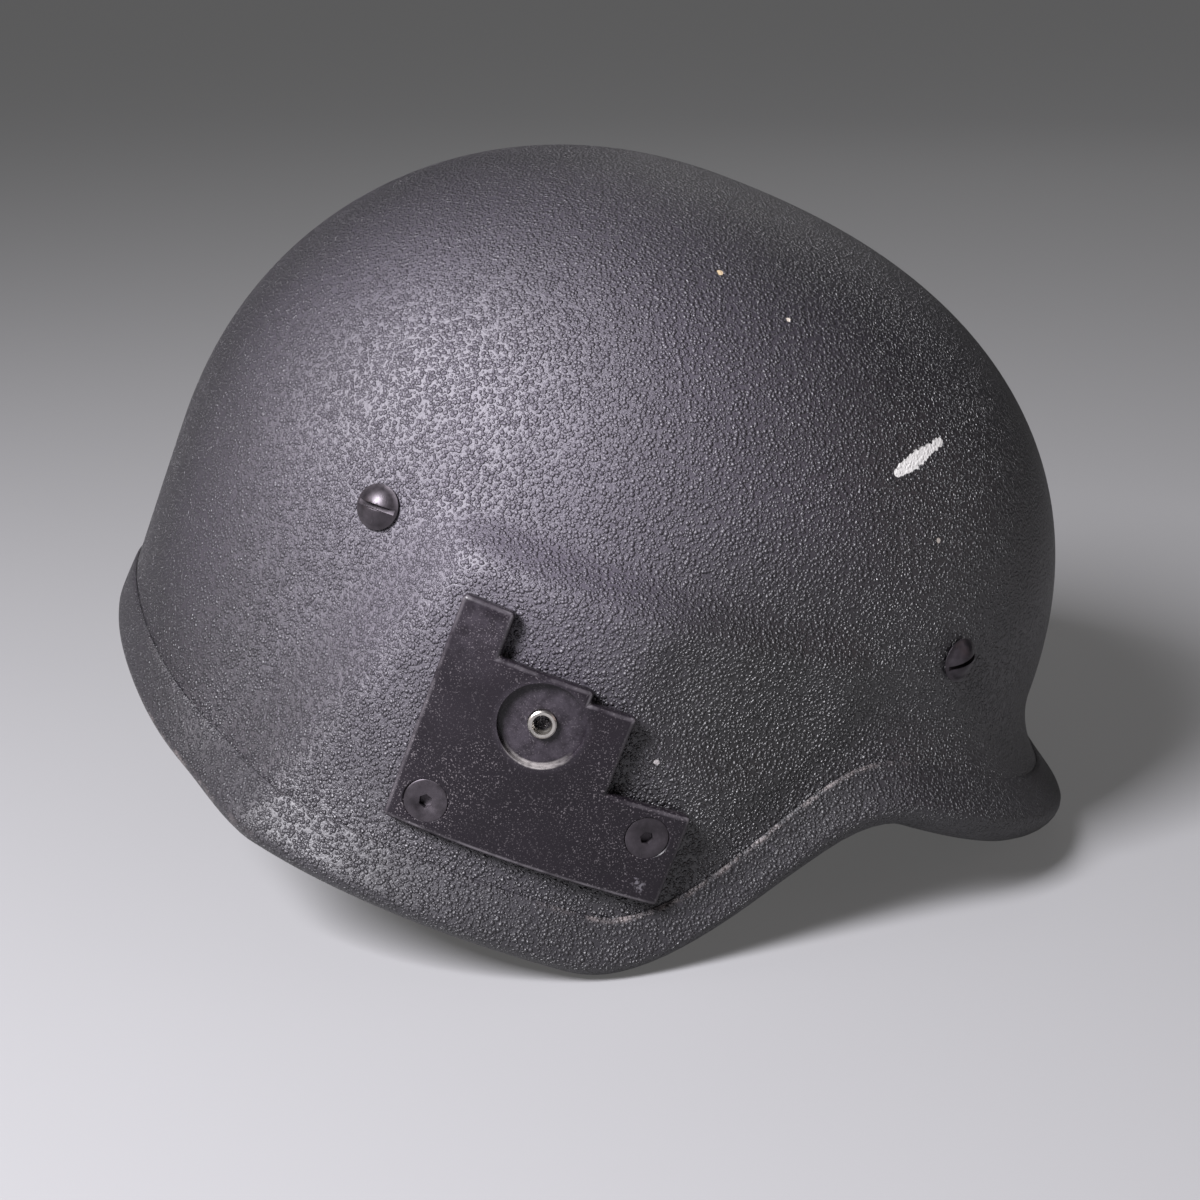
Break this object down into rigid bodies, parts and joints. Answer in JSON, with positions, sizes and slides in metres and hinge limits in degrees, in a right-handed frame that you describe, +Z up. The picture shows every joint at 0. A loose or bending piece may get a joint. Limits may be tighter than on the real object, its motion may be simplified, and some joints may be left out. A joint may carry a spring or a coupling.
{
  "type": "ballistic helmet",
  "caption": "Black composite helmet with flared brim and ear flaps, edge trim, stepped side brackets for a visor, sliding headband, foam pads and a buckled chin strap.",
  "frame": {"origin": "centre of the bounding box, level with the ground that the helmet stands on", "axes": "+X towards the wearer's front, +Y towards the wearer's left, +Z up from the ground; the helmet rests nose down on its brim and both ear flaps"},
  "size_m": [0.2676, 0.2572, 0.1908],
  "materials": {
    "shell_paint": "coarse anti-skid paint, semi-gloss, chipped in places",
    "trim_rubber": "rubber channel, painted over with the same anti-skid coat, rubbed along its edges",
    "bracket_paint": "satin black with worn edges",
    "bare_steel": "bare turned steel",
    "black_steel": "blackened steel, worn bright at the slots",
    "anchor_steel": "dull plated steel",
    "band_plastic": "moulded, fine texture",
    "sweat_leather": "smooth padded leather with stitching",
    "pad_fabric": "knitted cover over foam",
    "hook_fabric": "hook tape",
    "webbing": "woven nylon webbing",
    "buckle_plastic": "moulded, fine grain",
    "chin_leather": "soft black leather"
  },
  "bodies": {
    "helmet": {"shell": "shell_paint", "edge_trim": "trim_rubber", "bracket_right": "bracket_paint", "bracket_left": "bracket_paint", "pivot_nut_right": "bare_steel", "pivot_nut_left": "bare_steel", "bracket_screws_right": "black_steel", "bracket_screws_left": "black_steel", "bracket_nuts": "bare_steel", "liner_screws": "black_steel", "liner_nuts": "bare_steel", "liner_hangers": "anchor_steel", "headband": "band_plastic", "sweatband": "sweat_leather", "crown_pad": "pad_fabric", "front_pad": "pad_fabric", "rear_pad": "pad_fabric", "right_pad": "pad_fabric", "left_pad": "pad_fabric", "pad_hooks": "hook_fabric", "strap_anchor_right": "anchor_steel", "strap_anchor_left": "anchor_steel"},
    "nape": {"nape_yoke": "band_plastic", "nape_pad": "sweat_leather"},
    "chin_strap": {"strap_end_right": "anchor_steel", "strap_end_left": "anchor_steel", "strap_upper_right": "webbing", "buckle_socket": "buckle_plastic", "strap_left": "webbing", "chin_cup": "chin_leather"},
    "buckle_half": {"buckle_plug": "buckle_plastic", "strap_lower_right": "webbing"},
    "length_slider": {"strap_slider": "buckle_plastic"}
  },
  "joints": [
    {"name": "nape_adjust", "type": "slide", "parent": "helmet", "child": "nape", "axis": [0.9308, 0, -0.3655], "range_m": [0, 0.015]},
    {"name": "chin_strap_swing", "type": "hinge", "parent": "helmet", "child": "chin_strap", "pos_m": [-0.02039, 0, 0.04156], "axis": [0, 1, 0], "range_deg": [-1.5, 100]},
    {"name": "buckle_release", "type": "slide", "parent": "chin_strap", "child": "buckle_half", "axis": [0.6745, 0.7138, -0.1882], "range_m": [0, 0.022]},
    {"name": "strap_length", "type": "slide", "parent": "chin_strap", "child": "length_slider", "axis": [0.6745, -0.7138, -0.1882], "range_m": [0, 0.016]}
  ]
}
